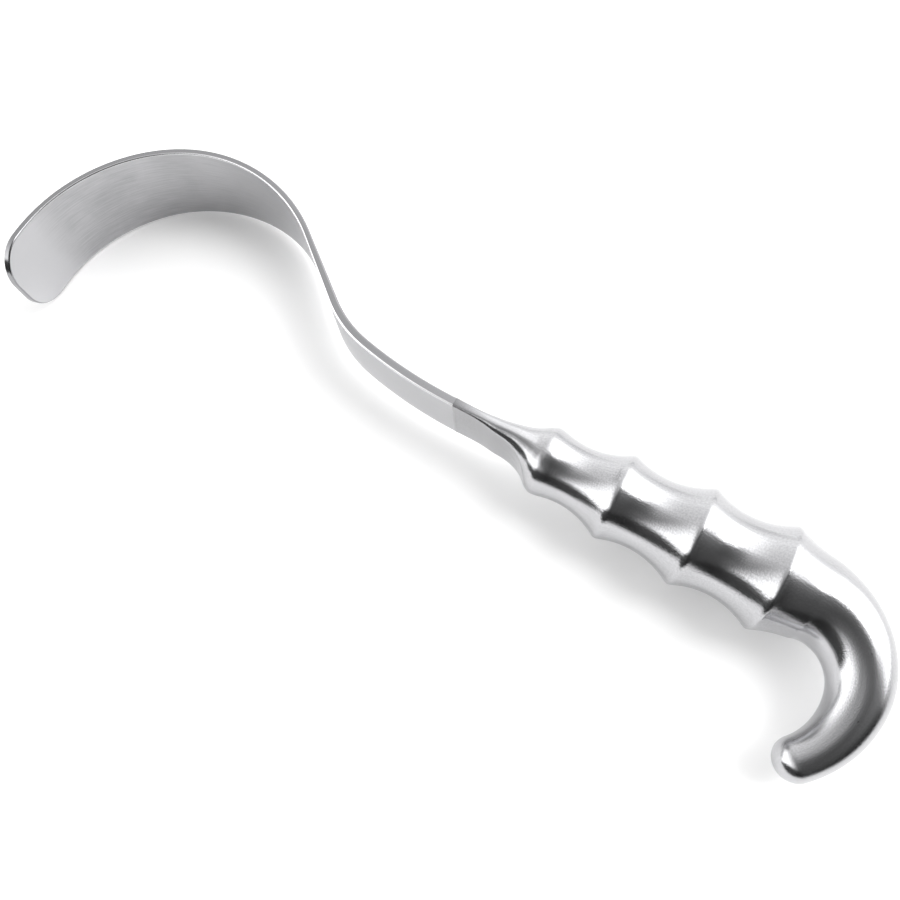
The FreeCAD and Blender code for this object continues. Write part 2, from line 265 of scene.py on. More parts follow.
@dataclass
class BladeStrip:
    """The shank, neck, riser and curved blade: one strip bent on edge, with a rounded end."""

    # Where the weld is in the frame, in metres.
    origin: Vector
    shank_radius: float = 126.0
    shank_turn: float = -13.0
    neck_radius: float = 33.5
    neck_turn: float = -25.5
    riser_length: float = 21.5
    heel_radius: float = 41.0
    heel_turn: float = 80.5
    toe_radius: float = 44.395
    toe_turn: float = 67.0
    shank_width: float = 17.0
    shank_thickness: float = 2.4
    blade_width: float = 25.4
    blade_thickness: float = 1.8
    # Distances from the weld between which the strip widens.
    widening_start: float = 30.0
    widening_end: float = 110.0
    corner_radius: float = 10.0
    bevel: float = 0.42
    bevel_tilts: tuple[float, ...] = (0.0, 22.5, 45.0, 67.5, 90.0)
    # Points of the rim that its painted highlight, a bright corner line, takes.
    highlight_corner_points: int = 3
    # Spacing of the outline's points, and how far to each side its slope is measured.
    step: float = 0.8
    probe: float = 0.05
    corner_steps: int = 24

    @cached_property
    def line(self) -> CentreLine:
        """Middle line of the strip, from the weld to the tip."""
        return CentreLine((0.0, 0.0), 180.0, (
            Stretch.bend(self.shank_radius, self.shank_turn),
            Stretch.bend(self.neck_radius, self.neck_turn),
            Stretch(self.riser_length),
            Stretch.bend(self.heel_radius, self.heel_turn),
            Stretch.bend(self.toe_radius, self.toe_turn),
        ))

    def half_width(self, along: float) -> float:
        """Measures an ogee from the shank to the blade, as seen square from the front.

        Args:
            along: distance along the strip.

        Returns:
            Half the strip's width there.
        """
        start = self.line.locate(self.widening_start)[0][0]
        end = self.line.locate(self.widening_end)[0][0]
        share = min(max((start - self.line.locate(along)[0][0]) / (start - end), 0.0), 1.0)
        narrow, wide = self.shank_width / 2, self.blade_width / 2
        run, rise = start - end, wide - narrow
        radius = (run ** 2 + rise ** 2) / (4 * rise)
        across = run * min(share, 1 - share)
        lift = radius - math.sqrt(radius ** 2 - across ** 2)
        return narrow + lift if share <= 0.5 else wide - lift

    def half_thickness(self, along: float) -> float:
        """Measures the strip's thickness, which goes down along the riser.

        Args:
            along: distance along the strip.

        Returns:
            Half the thickness there.
        """
        shank, neck = self.line.stretches[:2]
        start = shank.length + neck.length
        share = min(max((along - start) / self.riser_length, 0.0), 1.0)
        return (self.shank_thickness + share * (self.blade_thickness - self.shank_thickness)) / 2

    def outline(self) -> list[tuple[float, float, float, float]]:
        """Draws the strip's outline laid flat, from the weld around the tip and back.

        Returns:
            For each point its distance along, its height, and the outward direction's two parts.
        """
        straight = self.line.length - self.corner_radius
        count = round(straight / self.step)
        lower = []
        for along in (straight * k / count for k in range(count + 1)):
            before, after = (self.half_width(along + side * self.probe) for side in (-1, 1))
            out = Vector(((before - after) / (2 * self.probe), -1.0)).normalized()
            lower.append((along, -self.half_width(along), out.x, out.y))
        centre = self.blade_width / 2 - self.corner_radius
        for k in range(1, self.corner_steps + 1):
            angle = math.radians(90 * k / self.corner_steps)
            out_along, out_up = math.sin(angle), -math.cos(angle)
            along = straight + self.corner_radius * out_along
            lower.append((along, -centre + self.corner_radius * out_up, out_along, out_up))
        return lower + [(along, -up, ahead, -out) for along, up, ahead, out in reversed(lower)]

    def rim(self) -> list[tuple[float, float, float]]:
        """Draws the section of the rim, which has a rounded edge on both faces.

        Returns:
            For each point how far in it is, its share of the half thickness, and its tilt.
        """
        front = []
        for tilt in self.bevel_tilts:
            angle = math.radians(tilt)
            drop = self.bevel * (1 - math.cos(angle)) / (self.blade_thickness / 2)
            front.append((self.bevel * (1 - math.sin(angle)), 1 - drop, tilt))
        return front + [(inset, -share, 180 - tilt) for inset, share, tilt in reversed(front)]

    def skin(self) -> tuple[list[Vector], list[Vector], list[Pair]]:
        """Lays the rim's section along the outline.

        Returns:
            The points, the directions that they face, and their places on the strip laid flat.
        """
        section = self.rim()
        points, facing, flat = [], [], []
        for along, up, out_along, out_up in self.outline():
            thick = self.half_thickness(along)
            for inset, share, tilt in section:
                u = along - inset * out_along if along > self.step else along
                w = up - inset * out_up
                points.append(place(self.line, u, share * thick, w, self.origin))
                heading = self.line.locate(u)[1]
                out, face = math.sin(math.radians(tilt)), math.cos(math.radians(tilt))
                ahead = out * out_along
                facing.append(Vector((
                    ahead * math.cos(heading) - face * math.sin(heading),
                    ahead * math.sin(heading) + face * math.cos(heading),
                    out * out_up,
                )).normalized())
                flat.append((u, w + (0 if tilt < 90 else self.blade_width)))
        return points, facing, flat

    def faces(self, count: int, deep: int) -> list[tuple[int, ...]]:
        """Fills the rim, both faces of the strip and the end at the weld.

        Args:
            count: how many points the outline has.
            deep: how many points the rim's section has.

        Returns:
            Point numbers of each face.
        """
        faces: list[tuple[int, ...]] = []
        for k in range(count - 1):
            for j in range(deep - 1):
                a, b = k * deep + j, (k + 1) * deep + j
                faces.append((a, b, b + 1, a + 1))
        back = deep - 1
        for k in range(count // 2 - 1):
            a, b, c, d = (number * deep for number in (k, k + 1, count - 2 - k, count - 1 - k))
            faces += [(a, d, c, b), (a + back, b + back, c + back, d + back)]
        faces.append((*range(deep), *reversed(range((count - 1) * deep, count * deep))))
        return faces

    def build(self) -> bpy.types.Object:
        """Makes the strip, with its rim marked for the finish.

        Returns:
            The mesh object.
        """
        points, facing, flat = self.skin()
        deep = 2 * len(self.bevel_tilts)
        count = len(points) // deep
        faces = self.faces(count, deep)
        corners = [flat[number] for face in faces for number in face]
        piece = make_piece("blade_strip", points, faces, corners)
        piece.data.normals_split_custom_set_from_vertices(facing)
        on_rim = piece.data.attributes.new(RIM, "FLOAT", "POINT")
        plain = deep - 2 - self.highlight_corner_points
        # 0.5 marks the rim's inner corner for its painted highlight, 1 the rim for its painted
        # shade.
        shares = [0.0, *([0.5] * self.highlight_corner_points), *([1.0] * plain), 0.0]
        on_rim.data.foreach_set("value", shares * count)
        return piece


@dataclass
class GripShell:
    """The tongue, four finger crests, hook and round tip: one seamless skin."""

    # Where the weld is in the frame, in metres.
    origin: Vector
    shank_width: float = 17.0
    shank_thickness: float = 2.4
    tongue_end: float = 17.0
    collar_place: float = 24.0
    collar_radius: float = 7.9
    flare_end: float = 27.5
    # The weld's low bead, the place of its flat top, and extra rings that shape it.
    weld_bead: float = 0.09
    bead_top: tuple[float, ...] = (0.15, 0.45)
    bead_rings: tuple[float, ...] = (0.07, 0.15, 0.25, 0.35, 0.45, 0.55, 0.67, 0.8, 0.92)
    # Sizes of the tongue and flare at places along them, up to the flare's round end, and how
    # far they stand to the back of the grip's axis.
    half_thicknesses: Stations = (
        (0.9, 1.22), (5.0, 1.26), (8.0, 1.45), (11.0, 1.9), (14.0, 2.35), (17.0, 3.1), (20.0, 4.6),
        (21.5, 5.9), (23.0, 7.5), (24.2, 8.5), (25.3, 8.9), (26.4, 8.8))
    half_widths: Stations = ((22.0, 8.45), (23.5, 8.6), (25.3, 8.9), (26.4, 8.8))
    corner_depths: Stations = (
        (0.0, 0.3), (4.0, 0.5), (8.0, 0.95), (12.0, 1.6), (17.0, 2.7), (20.0, 4.2), (22.0, 6.0),
        (23.5, 7.7), (24.2, 8.5), (25.3, 8.9), (26.4, 8.8))
    roundnesses: Stations = ((17.0, 0.0), (20.0, 0.25), (22.0, 0.6), (24.5, 1.0))
    leans: Stations = ((12.0, 0.0), (17.0, 0.25), (20.0, 0.25))
    # The shank's painted shade runs on over this length and part of the tongue's top and bottom.
    edge_run: float = 9.0
    edge_share: float = 0.45
    edge_fade: float = 3.0
    # Place and radius of each crest, the sink of each stretch from the collar to the root, and
    # how soft the polishing leaves each crest.
    crests: Stations = ((24.9, 9.5), (44.1, 11.4), (64.0, 12.95), (83.7, 13.52))
    hollows: tuple[float, ...] = (0.0, 2.5, 2.6, 2.75, 0.4)
    crest_softness: tuple[float, ...] = (0.7, 0.6, 0.55, 0.45)
    # How many times its softness the polishing reaches to each side.
    soft_reach: float = 3.0
    soft_samples: int = 25
    # Place and radius of the hook's root, its two arcs, and how far its tip moves from level.
    root: Pair = (92.5, 10.7)
    hook_radius: float = 17.15
    hook_turn: float = -90.5
    curl_radius: float = 24.4
    curl_turn: float = -43.0
    tip_radius: float = 5.0
    hook_taper: float = 1.47
    tip_sag: tuple[float, float, float] = (0.9, 0.45, -3.3)
    # A corner's turn in parts: the share of its length, and the tilt that it ends at.
    corner_turns: Stations = ((0.15, 36.0), (0.4, 50.0), (0.05, 58.0), (0.25, 68.0), (0.15, 82.0))
    corner_steps: int = 30
    ring_step: float = 0.4
    tip_rings: int = 14
    quarter_points: int = 21
    # About the middle radius of the grip, which gives the finish its scale around it.
    mean_radius: float = 10.0

    @cached_property
    def line(self) -> CentreLine:
        """Middle line of the handle, still level, from the weld to the middle of the round tip."""
        return CentreLine((0.0, 0.0), 0.0, (
            Stretch(self.root[0]),
            Stretch.bend(self.hook_radius, self.hook_turn),
            Stretch.bend(self.curl_radius, self.curl_turn),
        ))

    def turned_radius(self, along: float) -> float:
        """Measures the turned grip before its crests are rounded.

        Args:
            along: distance along the handle.

        Returns:
            The radius there. Beyond the collar and the root it stays the same.
        """
        stations = [(self.collar_place, self.collar_radius), *self.crests, self.root]
        for (x0, r0), (x1, r1), sink in zip(stations, stations[1:], self.hollows):
            if along <= x1:
                break
        along = min(max(along, x0), x1)
        if not sink:
            return r0 + (r1 - r0) * (along - x0) / (x1 - x0)
        chord = math.hypot(x1 - x0, r1 - r0)
        tilt = math.atan2(r1 - r0, x1 - x0)
        arc = (chord ** 2 / 4 + sink ** 2) / (2 * sink)
        middle_x = (x0 + x1) / 2 - (arc - sink) * math.sin(tilt)
        middle_r = (r0 + r1) / 2 + (arc - sink) * math.cos(tilt)
        return middle_r - math.sqrt(arc ** 2 - (along - middle_x) ** 2)

    def tapered_radius(self, along: float) -> float:
        """Measures the hook, which tapers from its root to its tip.

        Args:
            along: distance along the handle, from the root on.

        Returns:
            The radius there.
        """
        share = min((along - self.root[0]) / (self.line.length - self.root[0]), 1.0)
        return self.tip_radius + (self.root[1] - self.tip_radius) * (1 - share) ** self.hook_taper

    def radius(self, along: float) -> float:
        """Measures the finished grip and hook, with the crests softened by the polishing.

        Args:
            along: distance along the handle.

        Returns:
            The radius there.
        """
        if along >= self.root[0]:
            return self.tapered_radius(along)
        softness = np.interp(along, [crest for crest, _ in self.crests], self.crest_softness)
        spread = np.linspace(-self.soft_reach, self.soft_reach, self.soft_samples)
        weights = np.exp(-spread ** 2 / 2)
        radii = [
            self.tapered_radius(near) if near > self.root[0] else self.turned_radius(near)
            for near in along + spread * softness]
        return float(np.dot(weights, radii) / weights.sum())

    def section(self, along: float) -> Section:
        """Measures the section, which goes from a flat tongue to a round grip.

        Args:
            along: distance along the handle.

        Returns:
            Half thickness, half width, depth of the corners, and how round they are, up to 1.
        """
        if along > self.flare_end:
            radius = self.radius(along)
            return radius, radius, radius, 1.0
        end = (self.flare_end, self.radius(self.flare_end))
        half = self.shank_thickness / 2
        bead = [(0.0, half), *((top, half + self.weld_bead) for top in self.bead_top)]
        even = [(spot, self.shank_width / 2) for spot in (0.0, self.tongue_end)]
        thick = smooth_through((*bead, *self.half_thicknesses, end), along)
        wide = smooth_through((*even, *self.half_widths, end), along)
        depth = smooth_through((*self.corner_depths, end), along)
        return thick, wide, min(depth, thick), smooth_through(self.roundnesses, along)

    def painted_edge_shade(self, along: float, share: float) -> float:
        """Marks where the painted shade of the shank's edge runs on over the tongue's top and
        bottom.

        Args:
            along: distance along the handle.
            share: share of the way around.

        Returns:
            1 on the painted shade of the edge, 0 off it.
        """
        across = abs((share * 4) % 2 - 1)
        on_edge = min(max((self.edge_share - across) / self.edge_share * self.edge_fade, 0.0), 1.0)
        return on_edge * min(max(1 - along / self.edge_run, 0.0), 1.0)

    def quarter(self, section: Section) -> list[Pair]:
        """Draws a quarter of the section, from the middle of the left side up to the top.

        A corner that isn't round has a soft facet in its middle, as if it were filed by hand.

        Args:
            section: half thickness, half width, depth of the corners, and how round they are.

        Returns:
            Distances to the left and up, with the middle of the top left out.
        """
        thick, wide, depth, roundness = section
        steps = self.corner_steps
        spots = (np.arange(steps) + 0.5) / steps
        tilts, travelled, turned = [], 0.0, 0.0
        for share, facet in self.corner_turns:
            travelled += share
            ahead = facet + roundness * (90 * travelled - facet)
            tilts.append(np.radians(turned + (ahead - turned) * spots))
            turned = ahead
        shares = [share for share, _ in self.corner_turns]
        reach, rise = (
            sum(share * turn(tilt).mean() for share, tilt in zip(shares, tilts))
            for turn in (np.sin, np.cos))
        corner = [depth / reach * share for share in shares]
        lengths = [max(wide - depth / reach * rise, 0.0), *corner, thick - depth]
        crown = np.radians(turned + (90 - turned) * spots)
        tilt = np.concatenate([np.zeros(steps), *tilts, crown])
        run = np.repeat(np.array(lengths) / steps, steps)
        inward, upward = run * np.sin(tilt), run * np.cos(tilt)
        left = thick - np.concatenate([[0.0], np.cumsum(inward)])
        up = np.concatenate([[0.0], np.cumsum(upward)]) * wide / upward.sum()
        # Points are spread by the length and the turn that they cover, so a tight corner gets more.
        covered = np.concatenate([[0.0], np.cumsum(run)]) / run.sum()
        covered += np.concatenate([[0.0], (tilt[1:] + tilt[:-1]) / math.pi, [1.0]])
        marks = np.linspace(0, 2, self.quarter_points + 1)[:-1]
        lefts, ups = (np.interp(marks, covered, values) for values in (left, up))
        return list(zip(lefts.tolist(), ups.tolist()))

    def ring(self, section: Section) -> list[tuple[float, float, float]]:
        """Mirrors a quarter of the section to a whole ring.

        Args:
            section: half thickness, half width, depth of the corners, and how round they are.

        Returns:
            For each point its distance to the left, its height, and its share of the way around.
        """
        first = self.quarter(section)
        back = [(-left, up) for left, up in reversed(first[1:])]
        upper = [*first, (0.0, section[1]), *back]
        whole = [*upper, *((-left, -up) for left, up in upper)]
        return [(left, up, number / len(whole)) for number, (left, up) in enumerate(whole)]

    def spot(self, along: float, ahead: float, left: float, up: float) -> Vector:
        """Turns a place beside the centre line to a point in the frame, with the hook's sag.

        Args:
            along: distance along the line.
            ahead: distance ahead of it.
            left: distance to the left.
            up: distance upward, square to the line.

        Returns:
            The point, in metres.
        """
        (x, y), heading = self.line.locate(along)
        bent = self.line.length - self.root[0]
        share = max(along - self.root[0], 0.0) / bent
        fall = math.atan(3 * self.tip_sag[2] * share ** 2 / bent)
        toward = Vector((math.cos(heading), math.sin(heading), 0))
        forward = toward * math.cos(fall) + Vector((0, 0, math.sin(fall)))
        upward = Vector((0, 0, math.cos(fall))) - toward * math.sin(fall)
        side = Vector((-math.sin(heading), math.cos(heading), 0))
        middle = Vector((x, y, 0)) + Vector(self.tip_sag) * share ** 3
        return self.origin + (middle + ahead * forward + left * side + up * upward) * MM

    def ring_places(self) -> list[float]:
        """Spaces the rings: closely over the weld's bead, and evenly further on.

        Returns:
            Distances along the handle.
        """
        root, end = self.root[0], self.line.length
        straight, bent = (round(length / self.ring_step) for length in (root, end - root))
        even = [root * k / straight for k in range(straight)]
        near = {*self.bead_rings, *(spot for spot in even if not 0 < spot < self.bead_rings[-1])}
        return [*sorted(near), *(root + (end - root) * k / bent for k in range(bent + 1))]

    def skin(self) -> tuple[list[Vector], list[Pair]]:
        """Lays rings along the centre line and over the round tip.

        Returns:
            The points, and for each its distance along and its share of the way around. The middle
            of the tip is the last.
        """
        end = self.line.length
        points, flat = [], []
        for along in self.ring_places():
            lean = smooth_through((*self.leans, (self.flare_end, 0.0)), along)
            for left, up, share in self.ring(self.section(along)):
                points.append(self.spot(along, 0.0, left + lean, up))
                flat.append((along, share))
        shape = self.ring((self.tip_radius, self.tip_radius, self.tip_radius, 1.0))
        for k in range(1, self.tip_rings):
            angle = math.radians(90 * k / self.tip_rings)
            ahead, narrowed = self.tip_radius * math.sin(angle), math.cos(angle)
            for left, up, share in shape:
                points.append(self.spot(end, ahead, left * narrowed, up * narrowed))
                flat.append((end + self.tip_radius * angle, share))
        points.append(self.spot(end, self.tip_radius, 0.0, 0.0))
        flat.append((end + self.tip_radius * math.pi / 2, 0.0))
        return points, flat

    def faces(self, flat: Sequence[Pair]) -> tuple[list[tuple[int, ...]], list[Pair]]:
        """Joins the rings, closes the tip, and closes the end at the weld with the last face.

        Args:
            flat: each point's distance along and share of the way around.

        Returns:
            Point numbers of each face, and each face corner's distance along and around.
        """
        around = 4 * self.quarter_points
        girth = 2 * math.pi * self.mean_radius
        tip = len(flat) - 1
        faces: list[tuple[int, ...]] = []
        corners = []
        for k in range(tip // around - 1):
            for j in range(around):
                a, b = k * around + j, k * around + (j + 1) % around
                faces.append((a, b, b + around, a + around))
                near, far = flat[a][0], flat[a + around][0]
                low = flat[a][1] * girth
                high = (flat[a][1] + (flat[b][1] - flat[a][1]) % 1) * girth
                corners += [(near, low), (near, high), (far, high), (far, low)]
        last = tip - around
        for j in range(around):
            a, b = last + j, last + (j + 1) % around
            faces.append((a, b, tip))
            corners += [(flat[number][0], flat[a][1] * girth) for number in (a, b, tip)]
        faces.append(tuple(reversed(range(around))))
        corners += [(0.0, flat[j][1] * girth) for j in reversed(range(around))]
        return faces, corners

    def build(self) -> bpy.types.Object:
        """Makes the closed skin, with the painted shade on the tongue's edge marked for the finish.

        Returns:
            The mesh object.
        """
        points, flat = self.skin()
        faces, corners = self.faces(flat)
        piece = make_piece("grip_shell", points, faces, corners)
        piece.data.polygons[len(faces) - 1].use_smooth = False
        on_rim = piece.data.attributes.new(RIM, "FLOAT", "POINT")
        on_rim.data.foreach_set("value", [self.painted_edge_shade(along, share) for along, share in flat])
        return piece


@dataclass(frozen=True)
class GroundSteel:
    """Stainless steel ground lengthwise with a fine belt."""

    name: str = "satin ground stainless steel"
    colour: str = "#BABABC"
    # Painted shade: the bend is painted darker than the ends, in random clouds of this colour.
    bend_shade_colour: str = "#A6A6A8"
    # Painted reflection: the shank and tip are painted lighter with this colour.
    lit_ends_reflection_colour: str = "#C7C7C9"
    # Painted shade: the rim is painted darker.
    edge_shade_colour: str = "#939395"
    # Painted highlight on the rim's corner inside the curve, turning to painted shade around the
    # toe.
    bevel_highlight_colour: str = "#F0F0F2"
    toe_bevel_shade_colour: str = "#8A8A8C"
    # Where painted shade fades in at the heel and out at the toe, and the noise it shows in.
    heel_fade: Pair = (72.0, 130.0)
    toe_fade: Pair = (148.0, 162.0)
    noise_range: Pair = (0.5, 1.0)
    smooth: float = 0.3
    rough: float = 0.37
    edge_rough: float = 0.16
    grain_pitch: float = 0.4
    grain_length: float = 9.0
    grain_depth: float = 0.006
    cloud_size: float = 11.0
    cloud_share: float = 0.5
    anisotropy: float = 0.5

    def build(self) -> bpy.types.Material:
        """Makes the material.

        The grain gives the eye fine streaks along the strip and a soft shine that is drawn out
        across them. The bend is painted darker in random clouds, a painted shade, and the shank and
        tip are painted lighter, a painted reflection. The rim is painted darker, a painted shade,
        and is sharper. Its corner inside the curve is a painted highlight, a bright line, which
        turns to painted shade around the tip. A real belt leaves lines about 0.1 mm apart, too fine
        to show, so they are drawn four times as far apart.

        Returns:
            The material.
        """
        material = new_material(self.name)
        tree = material.node_tree
        place = add_node(tree, "ShaderNodeUVMap", {"uv_map": GRAIN}).outputs["UV"]
        rim = add_node(tree, "ShaderNodeAttribute", {"attribute_name": RIM}).outputs["Fac"]
        along = add_node(tree, "ShaderNodeSeparateXYZ", inputs={0: place}).outputs["X"]
        streaks = add_node(tree, "ShaderNodeMapping", inputs={
            "Vector": place, "Scale": (1 / self.grain_length, 1 / self.grain_pitch, 1.0)})
        grain = add_node(tree, "ShaderNodeTexNoise", {"noise_dimensions": "2D"}, {
            "Vector": streaks.outputs[0], "Scale": 1.0, "Detail": 4.0,
            "Roughness": 0.62}).outputs["Fac"]
        cloud = add_node(tree, "ShaderNodeTexNoise", {"noise_dimensions": "2D"}, {
            "Vector": place, "Scale": 1 / self.cloud_size, "Detail": 3.0,
            "Distortion": 0.6}).outputs["Fac"]
        both = add_node(tree, "ShaderNodeMath", {"operation": "MULTIPLY_ADD"}, {
            0: cloud, 1: self.cloud_share, 2: grain})
        shade_cloud_share, haze = (add_node(tree, "ShaderNodeMapRange", inputs={
            "Value": both.outputs[0], "From Min": self.noise_range[0],
            "From Max": self.noise_range[1], "To Min": least, "To Max": most}).outputs["Result"]
            for least, most in ((0.0, 1.0), (self.smooth, self.rough)))
        past_heel, past_toe = (
            add_node(tree, "ShaderNodeMapRange", {"interpolation_type": "SMOOTHSTEP"}, {
                "Value": along, "From Min": first, "From Max": last}).outputs["Result"]
            for first, last in (self.heel_fade, self.toe_fade))
        on_bend = add_node(tree, "ShaderNodeMath", {"operation": "SUBTRACT"}, {
            0: past_heel, 1: past_toe}).outputs[0]
        on_bevel, on_edge = (add_node(tree, "ShaderNodeMapRange", inputs={
            "Value": rim, "From Min": low, "From Max": low + 0.5}).outputs["Result"]
            for low in (0.0, 0.5))
        # Painted shade in the bend, spread in random clouds.
        face = add_node(tree, "ShaderNodeMix", {"data_type": "RGBA"}, {
            "Factor": shade_cloud_share, 6: to_linear(self.colour), 7: to_linear(self.bend_shade_colour)})
        # Painted reflection: the shank and tip are painted lighter than the bend.
        face_and_painted_reflection = add_node(tree, "ShaderNodeMix", {"data_type": "RGBA"}, {
            "Factor": on_bend, 6: to_linear(self.lit_ends_reflection_colour), 7: face.outputs[2]})
        # Painted highlight on the rim's inner corner, and painted shade there around the toe.
        bevel = add_node(tree, "ShaderNodeMix", {"data_type": "RGBA"}, {
            "Factor": past_toe, 6: to_linear(self.bevel_highlight_colour),
            7: to_linear(self.toe_bevel_shade_colour)})
        # Painted shade on the rim.
        brim = add_node(tree, "ShaderNodeMix", {"data_type": "RGBA"}, {
            "Factor": on_edge, 6: bevel.outputs[2], 7: to_linear(self.edge_shade_colour)})
        colour = add_node(tree, "ShaderNodeMix", {"data_type": "RGBA"}, {
            "Factor": on_bevel, 6: face_and_painted_reflection.outputs[2], 7: brim.outputs[2]})
        roughness = add_node(tree, "ShaderNodeMix", inputs={
            "Factor": on_bevel, "A": haze, "B": self.edge_rough})
        bump = add_node(tree, "ShaderNodeBump", inputs={
            "Height": grain, "Distance": self.grain_depth * MM})
        lengthwise = add_node(tree, "ShaderNodeTangent", {
            "direction_type": "UV_MAP", "uv_map": GRAIN})
        shader = add_node(tree, "ShaderNodeBsdfPrincipled", inputs={
            "Base Color": colour.outputs[2], "Metallic": 1.0, "Roughness": roughness.outputs[0],
            "Anisotropic": self.anisotropy, "Tangent": lengthwise.outputs[0],
            "Normal": bump.outputs[0]})
        add_node(tree, "ShaderNodeOutputMaterial", inputs={"Surface": shader.outputs["BSDF"]})
        return material


@dataclass(frozen=True)
class PolishedSteel:
    """Stainless steel polished lengthwise with a soft wheel."""

    name: str = "polished stainless steel"
    colour: str = "#BDBDBF"
    streak_colour: str = "#B2B2B4"
    # Painted shade: the tongue's top and bottom near the weld are painted as dark as the shank's
    # edge.
    edge_shade_colour: str = "#858587"
    pit_colour: str = "#4A4A4B"
    # How rough the steel is, from bright to hazy, and the noise that haze and streaks show in.
    bright: float = 0.11
    hazy: float = 0.21
    haze_range: Pair = (0.55, 1.05)
    streak_range: Pair = (0.6, 1.0)
    line_pitch: float = 0.45
    line_length: float = 7.0
    line_share: float = 0.6
    speck_size: float = 0.42
    bump_depth: float = 0.015
    pit_spacing: float = 15.0
    pit_size: float = 0.22
    pit_share: float = 0.22

    def build(self) -> bpy.types.Material:
        """Makes the material.

        The wheel leaves nearly a mirror. Faint duller lines along the grip and small hazy specks
        make the edges of the bright and dark bands fray, and a few small pits are left from the
        casting. The tongue's top and bottom start painted as dark as the edge of the shank, a
        painted shade. Real lines are about 0.05 mm apart, too fine to show, so they are drawn nine
        times as far apart.

        Returns:
            The material.
        """
        material = new_material(self.name)
        tree = material.node_tree
        place = add_node(tree, "ShaderNodeUVMap", {"uv_map": GRAIN}).outputs["UV"]
        rim = add_node(tree, "ShaderNodeAttribute", {"attribute_name": RIM}).outputs["Fac"]
        drawn_out = add_node(tree, "ShaderNodeMapping", inputs={
            "Vector": place, "Scale": (1 / self.line_length, 1 / self.line_pitch, 1.0)})
        lines = add_node(tree, "ShaderNodeTexNoise", {"noise_dimensions": "2D"}, {
            "Vector": drawn_out.outputs[0], "Scale": 1.0, "Detail": 3.0,
            "Roughness": 0.6}).outputs["Fac"]
        specks = add_node(tree, "ShaderNodeTexNoise", {"noise_dimensions": "2D"}, {
            "Vector": place, "Scale": 1 / self.speck_size, "Detail": 2.0}).outputs["Fac"]
        both = add_node(tree, "ShaderNodeMath", {"operation": "MULTIPLY_ADD"}, {
            0: lines, 1: self.line_share, 2: specks}).outputs[0]
        haze, streak = (add_node(tree, "ShaderNodeMapRange", inputs={
            "Value": both, "From Min": first, "From Max": last, "To Min": least,
            "To Max": most}).outputs["Result"] for (first, last), (least, most) in (
                (self.haze_range, (self.bright, self.hazy)), (self.streak_range, (0.0, 1.0))))
        cell = add_node(tree, "ShaderNodeTexVoronoi", {"voronoi_dimensions": "2D"}, {
            "Vector": place, "Scale": 1 / self.pit_spacing})
        chosen = add_node(tree, "ShaderNodeMath", {"operation": "LESS_THAN"}, {
            0: cell.outputs["Color"], 1: self.pit_share})
        edge = self.pit_size / self.pit_spacing
        inside = add_node(tree, "ShaderNodeMapRange", inputs={
            "Value": cell.outputs["Distance"], "From Min": edge, "From Max": edge / 2})
        pit = add_node(tree, "ShaderNodeMath", {"operation": "MULTIPLY"}, {
            0: inside.outputs["Result"], 1: chosen.outputs[0]}).outputs[0]
        colour: Any = to_linear(self.colour)
        # The rim share paints shade on the tongue's edge.
        for share, other in (
            (streak, self.streak_colour), (rim, self.edge_shade_colour), (pit, self.pit_colour),
        ):
            colour = add_node(tree, "ShaderNodeMix", {"data_type": "RGBA"}, {
                "Factor": share, 6: colour, 7: to_linear(other)}).outputs[2]
        bump = add_node(tree, "ShaderNodeBump", inputs={
            "Height": both, "Distance": self.bump_depth * MM})
        shader = add_node(tree, "ShaderNodeBsdfPrincipled", inputs={
            "Base Color": colour, "Metallic": 1.0, "Roughness": haze, "Normal": bump.outputs[0]})
        add_node(tree, "ShaderNodeOutputMaterial", inputs={"Surface": shader.outputs["BSDF"]})
        return material


@dataclass(frozen=True)
class Edge:
    """A soft edge of an area, which fades in along a heading from one mark to the next.

    The marks are degrees from straight up in the surroundings, and metres on the table.
    """

    heading: float
    none_at: float
    all_at: float


@dataclass(frozen=True)
class Area:
    """An area between soft edges, and how much light it adds or takes."""

    name: str
    edges: tuple[Edge, ...]
    strength: float

    def share(self, tree: Tree, spot: Socket) -> Any:
        """Works out how far a spot is inside the area.

        Args:
            tree: the node tree to work in.
            spot: where the spot is.

        Returns:
            A socket with 0 outside to 1 inside.
        """
        kept: Any = 1.0
        for edge in self.edges:
            heading = math.radians(edge.heading)
            toward = add_node(tree, "ShaderNodeVectorMath", {"operation": "DOT_PRODUCT"}, {
                0: spot, 1: (math.cos(heading), math.sin(heading), 0.0)})
            fade = add_node(tree, "ShaderNodeMapRange", {
                "interpolation_type": "SMOOTHSTEP", "label": self.name}, {
                    "Value": toward.outputs["Value"], "From Min": edge.none_at,
                    "From Max": edge.all_at})
            kept = add_node(tree, "ShaderNodeMath", {"operation": "MULTIPLY"}, {
                0: fade.outputs["Result"], 1: kept}).outputs[0]
        return kept


def dim(tree: Tree, shade: Area, spot: Socket, light: Any) -> Socket:
    """Takes a shade's share from a light.

    Args:
        tree: the node tree to work in.
        shade: the area that is darker.
        spot: where the light comes from or falls.
        light: the light before the shade, as a number or a socket.

    Returns:
        A socket with the light that is left.
    """
    left = add_node(tree, "ShaderNodeMath", {"operation": "MULTIPLY_ADD"}, {
        0: shade.share(tree, spot), 1: -shade.strength, 2: 1.0})
    return add_node(tree, "ShaderNodeMath", {"operation": "MULTIPLY"}, {
        0: left.outputs[0], 1: light}).outputs[0]


